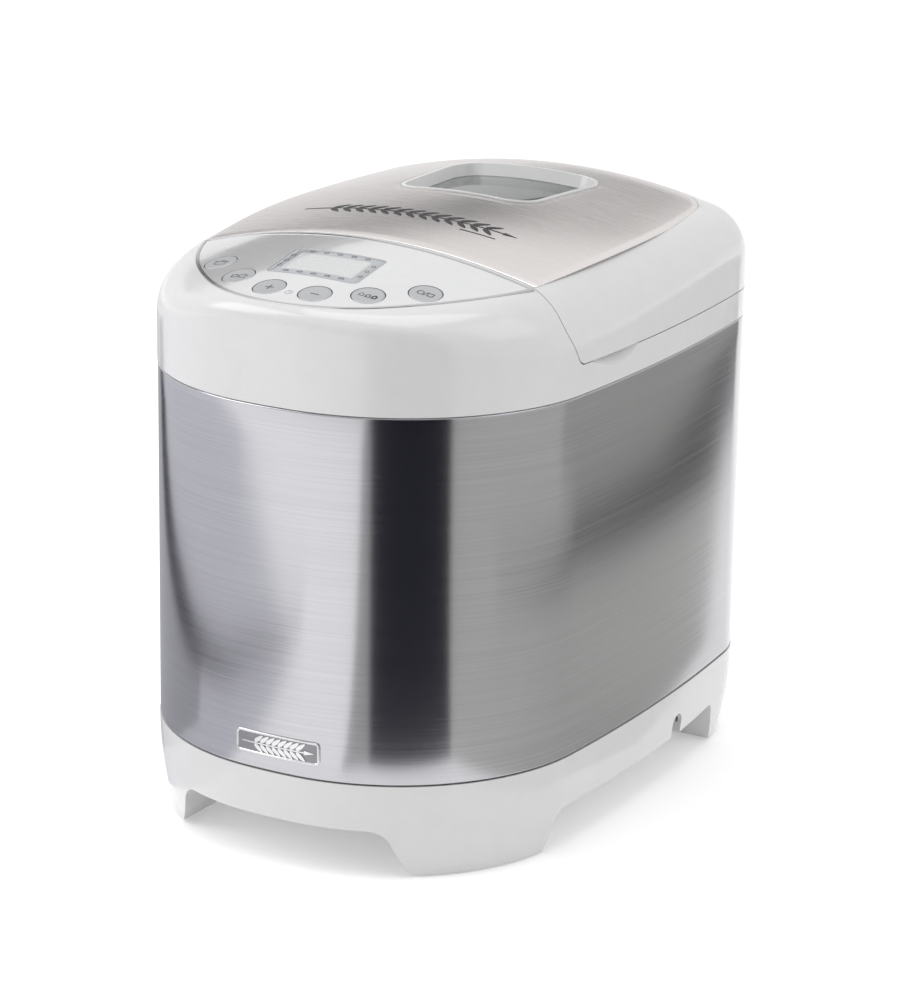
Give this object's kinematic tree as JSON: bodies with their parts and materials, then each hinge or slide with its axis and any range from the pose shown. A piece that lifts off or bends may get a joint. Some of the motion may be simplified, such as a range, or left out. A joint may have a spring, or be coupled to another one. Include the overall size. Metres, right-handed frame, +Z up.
{
  "type": "bread machine",
  "caption": "Upright domestic bread maker with a brushed steel wrap, glossy white base and crowned top, a hinged windowed lid, a sloping control panel and a lift-out kneading pan.",
  "frame": {"origin": "middle of the footprint, on the surface it stands on", "axes": "+Z up, -Y towards the user (control panel side), +X to the machine's right seen from the front"},
  "size_m": [0.2396, 0.3507, 0.3152],
  "materials": {
    "white_plastic": "glossy moulded ABS",
    "brushed_steel": "horizontal brushed grain",
    "inlay_steel": "fine brushed grain along the width",
    "panel_plastic": "glossy silver-white",
    "chrome_trim": "polished",
    "button_silver": "satin silver",
    "clear_lens": "clear hard-coated",
    "window_glass": "clear tempered, lightly tinted",
    "lcd_panel": "grey-green display",
    "circuit_board": "green solder mask",
    "black_plastic": "moulded",
    "transformer_iron": "laminated",
    "zinc_sheet": "galvanised sheet",
    "chamber_steel": "bright sheet",
    "liner_aluminium": "satin sheet",
    "silicone": "grey silicone",
    "rubber": "matt",
    "nonstick_coating": "dark non-stick coating",
    "cast_aluminium": "die cast",
    "bronze": "sintered",
    "shaft_steel": "ground",
    "heater_steel": "dark sheath",
    "belt_rubber": "ribbed",
    "fan_plastic": "moulded"
  },
  "bodies": {
    "root": {"baking_chamber": "chamber_steel", "base_housing": "white_plastic", "base_screws": "shaft_steel", "bearing_bridge": "zinc_sheet", "bottom_cover": "zinc_sheet", "button_switches": "black_plastic", "chamber_gasket": "silicone", "chassis_plate": "zinc_sheet", "control_board": "circuit_board", "control_panel": "panel_plastic", "cord_gland": "rubber", "drive_bearing": "bronze", "drive_belt": "belt_rubber", "front_badge": "chrome_trim", "heat_shield": "zinc_sheet", "heater_clips": "zinc_sheet", "heating_element": "heater_steel", "hinge_pins": "shaft_steel", "lcd_lens": "clear_lens", "lcd_module": "lcd_panel", "motor_body": "transformer_iron", "motor_bracket": "zinc_sheet", "pan_seat": "cast_aluminium", "panel_trim": "chrome_trim", "power_board": "circuit_board", "rubber_feet": "rubber", "run_capacitor": "black_plastic", "steel_wrap": "brushed_steel", "support_posts": "zinc_sheet", "thermal_sensors": "heater_steel", "transformer": "transformer_iron", "upper_housing": "white_plastic"},
    "lid": {"lid_shell": "white_plastic", "lid_inlay": "inlay_steel", "window_rim": "white_plastic", "window_glass": "window_glass", "lid_frame": "white_plastic", "lid_liner": "liner_aluminium", "inner_glass": "window_glass", "lid_seal": "silicone"},
    "pan": {"bread_pan": "nonstick_coating", "pan_base_ring": "cast_aluminium", "pan_shaft_bush": "bronze", "handle_pivots": "shaft_steel"},
    "handle": {"pan_handle": "shaft_steel"},
    "paddle": {"kneading_paddle": "nonstick_coating", "pan_shaft": "shaft_steel", "pan_coupler": "cast_aluminium"},
    "drive": {"drive_shaft": "shaft_steel", "drive_pulley": "cast_aluminium", "drive_coupler": "cast_aluminium"},
    "rotor": {"motor_shaft": "shaft_steel", "motor_pulley": "cast_aluminium", "motor_fan": "fan_plastic"},
    "button_menu_key": {"button_menu": "button_silver"},
    "button_loaf_size_key": {"button_loaf_size": "button_silver"},
    "button_plus_key": {"button_plus": "button_silver"},
    "button_minus_key": {"button_minus": "button_silver"},
    "button_crust_key": {"button_crust": "button_silver"},
    "button_start_stop_key": {"button_start_stop": "button_silver"}
  },
  "joints": [
    {"name": "lid_hinge", "type": "hinge", "parent": "root", "child": "lid", "pos_m": [0, 0.1635, 0.259], "axis": [-1, 0, 0], "range_deg": [0, 76]},
    {"name": "pan_lift", "type": "slide", "parent": "root", "child": "pan", "axis": [0, 0, 1], "range_m": [0, 0.014]},
    {"name": "handle_swing", "type": "hinge", "parent": "pan", "child": "handle", "pos_m": [0, 0.042, 0.227], "axis": [0, 1, 0], "range_deg": [0, 16]},
    {"name": "drive_spin", "type": "hinge", "parent": "root", "child": "drive", "pos_m": [0, 0.042, 0.07], "axis": [0, 0, 1], "continuous": true},
    {"name": "motor_spin", "type": "hinge", "parent": "root", "child": "rotor", "pos_m": [0, -0.112, 0.07], "axis": [0, 0, 1], "continuous": true},
    {"name": "paddle_spin", "type": "hinge", "parent": "pan", "child": "paddle", "pos_m": [0, 0.042, 0.1], "axis": [0, 0, 1], "continuous": true},
    {"name": "press_menu", "type": "slide", "parent": "root", "child": "button_menu_key", "axis": [0.1637, 0.1881, -0.9684], "range_m": [0, 0.0008], "stiffness_N_per_m": 2000},
    {"name": "press_loaf_size", "type": "slide", "parent": "root", "child": "button_loaf_size_key", "axis": [0.1033, 0.2104, -0.9721], "range_m": [0, 0.0008], "stiffness_N_per_m": 2000},
    {"name": "press_plus", "type": "slide", "parent": "root", "child": "button_plus_key", "axis": [0.0363, 0.223, -0.9741], "range_m": [0, 0.0008], "stiffness_N_per_m": 2000},
    {"name": "press_minus", "type": "slide", "parent": "root", "child": "button_minus_key", "axis": [-0.0363, 0.223, -0.9741], "range_m": [0, 0.0008], "stiffness_N_per_m": 2000},
    {"name": "press_crust", "type": "slide", "parent": "root", "child": "button_crust_key", "axis": [-0.1033, 0.2104, -0.9721], "range_m": [0, 0.0008], "stiffness_N_per_m": 2000},
    {"name": "press_start_stop", "type": "slide", "parent": "root", "child": "button_start_stop_key", "axis": [-0.1637, 0.1881, -0.9684], "range_m": [0, 0.0008], "stiffness_N_per_m": 2000}
  ],
  "couplings": [
    {"joint": "motor_spin", "follows": "drive_spin", "ratio": 5},
    {"joint": "paddle_spin", "follows": "drive_spin", "ratio": 1}
  ]
}
